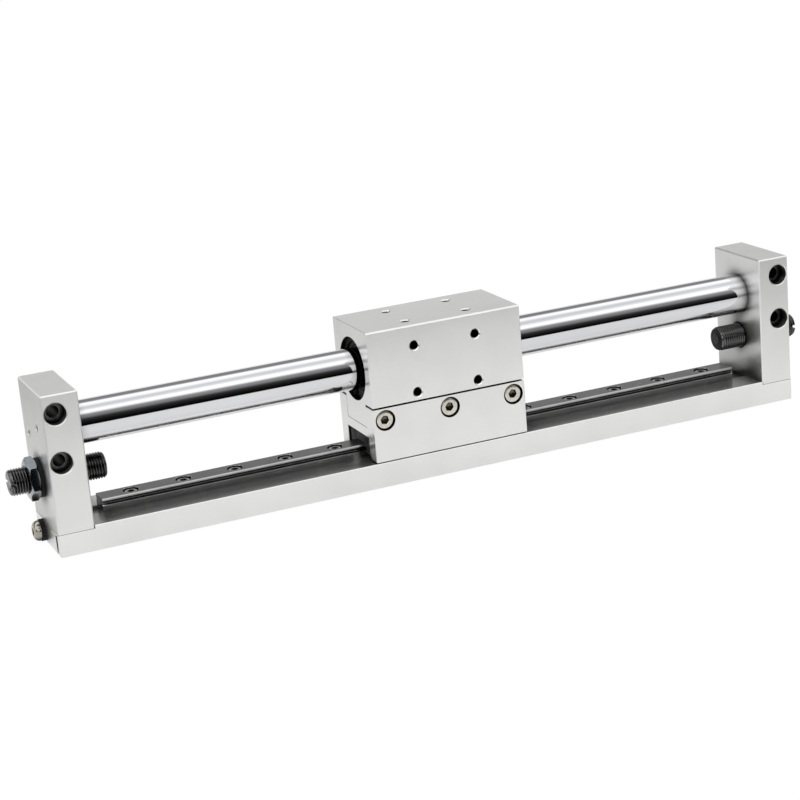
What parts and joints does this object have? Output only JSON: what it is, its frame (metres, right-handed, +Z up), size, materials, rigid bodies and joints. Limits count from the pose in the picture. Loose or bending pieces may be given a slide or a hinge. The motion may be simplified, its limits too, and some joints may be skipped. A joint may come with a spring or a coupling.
{
  "type": "magnetic rodless cylinder",
  "caption": "Magnetically coupled rodless cylinder: a slider block rides on a thin tube and a guide rail between end plates with adjustable stops.",
  "frame": {"origin": "centre of the base bar's underside", "axes": "+X along the tube and guide rail, +Y from the front with the screw heads to the back with the air ports, +Z up through the slider's table face"},
  "size_m": [0.3264, 0.033, 0.06],
  "materials": {
    "anodised": "satin clear anodised",
    "tube_steel": "polished",
    "rail_steel": "ground",
    "bolt_steel": "bright plated",
    "ball_steel": "polished",
    "black_steel": "black oxide",
    "screw_black": "black oxide",
    "yoke_steel": "machined",
    "magnet": "nickel plated",
    "bush_plastic": "smooth",
    "cap_plastic": "moulded",
    "seal_rubber": "smooth",
    "insert_urethane": "smooth",
    "piston_alu": "machined"
  },
  "bodies": {
    "base": {"base_plate": "anodised", "end_plate_left": "anodised", "end_plate_right": "anodised", "end_plate_screws": "screw_black", "cylinder_tube": "tube_steel", "tube_seals": "seal_rubber", "guide_rail": "rail_steel", "rail_screws": "screw_black", "stop_lock_nuts": "bolt_steel", "stop_washers": "black_steel", "base_end_screws": "bolt_steel", "base_end_washers": "black_steel"},
    "slider": {"slider_block": "anodised", "carriage_bracket": "anodised", "bracket_screws": "screw_black", "carriage_holding_screws": "screw_black", "outer_yokes": "yoke_steel", "outer_magnets": "magnet", "outer_bushes": "bush_plastic", "scrapers": "seal_rubber", "snap_rings": "black_steel", "carriage_left": "rail_steel", "carriage_right": "rail_steel", "carriage_end_caps": "cap_plastic", "carriage_end_seals": "seal_rubber", "carriage_cap_screws": "bolt_steel", "carriage_balls": "ball_steel"},
    "piston": {"piston_shaft": "rail_steel", "inner_yokes": "yoke_steel", "inner_magnets": "magnet", "piston_left": "piston_alu", "piston_right": "piston_alu", "piston_seals": "seal_rubber", "piston_wear_bands": "bush_plastic", "piston_nuts": "bolt_steel", "piston_bumpers": "insert_urethane"},
    "stop_left": {"stop_bolt_left": "bolt_steel", "stop_insert_left": "insert_urethane"},
    "stop_right": {"stop_bolt_right": "bolt_steel", "stop_insert_right": "insert_urethane"}
  },
  "joints": [
    {"name": "slider_slide", "type": "slide", "parent": "base", "child": "slider", "axis": [1, 0, 0], "range_m": [-0.0981, 0.0944]},
    {"name": "piston_slide", "type": "slide", "parent": "base", "child": "piston", "axis": [1, 0, 0], "range_m": [-0.0981, 0.0944]},
    {"name": "stop_left_adjust", "type": "slide", "parent": "base", "child": "stop_left", "axis": [-1, 0, 0], "range_m": [0, 0.007]},
    {"name": "stop_right_adjust", "type": "slide", "parent": "base", "child": "stop_right", "axis": [1, 0, 0], "range_m": [0, 0.007]}
  ],
  "couplings": [
    {"joint": "piston_slide", "follows": "slider_slide", "ratio": 1}
  ]
}
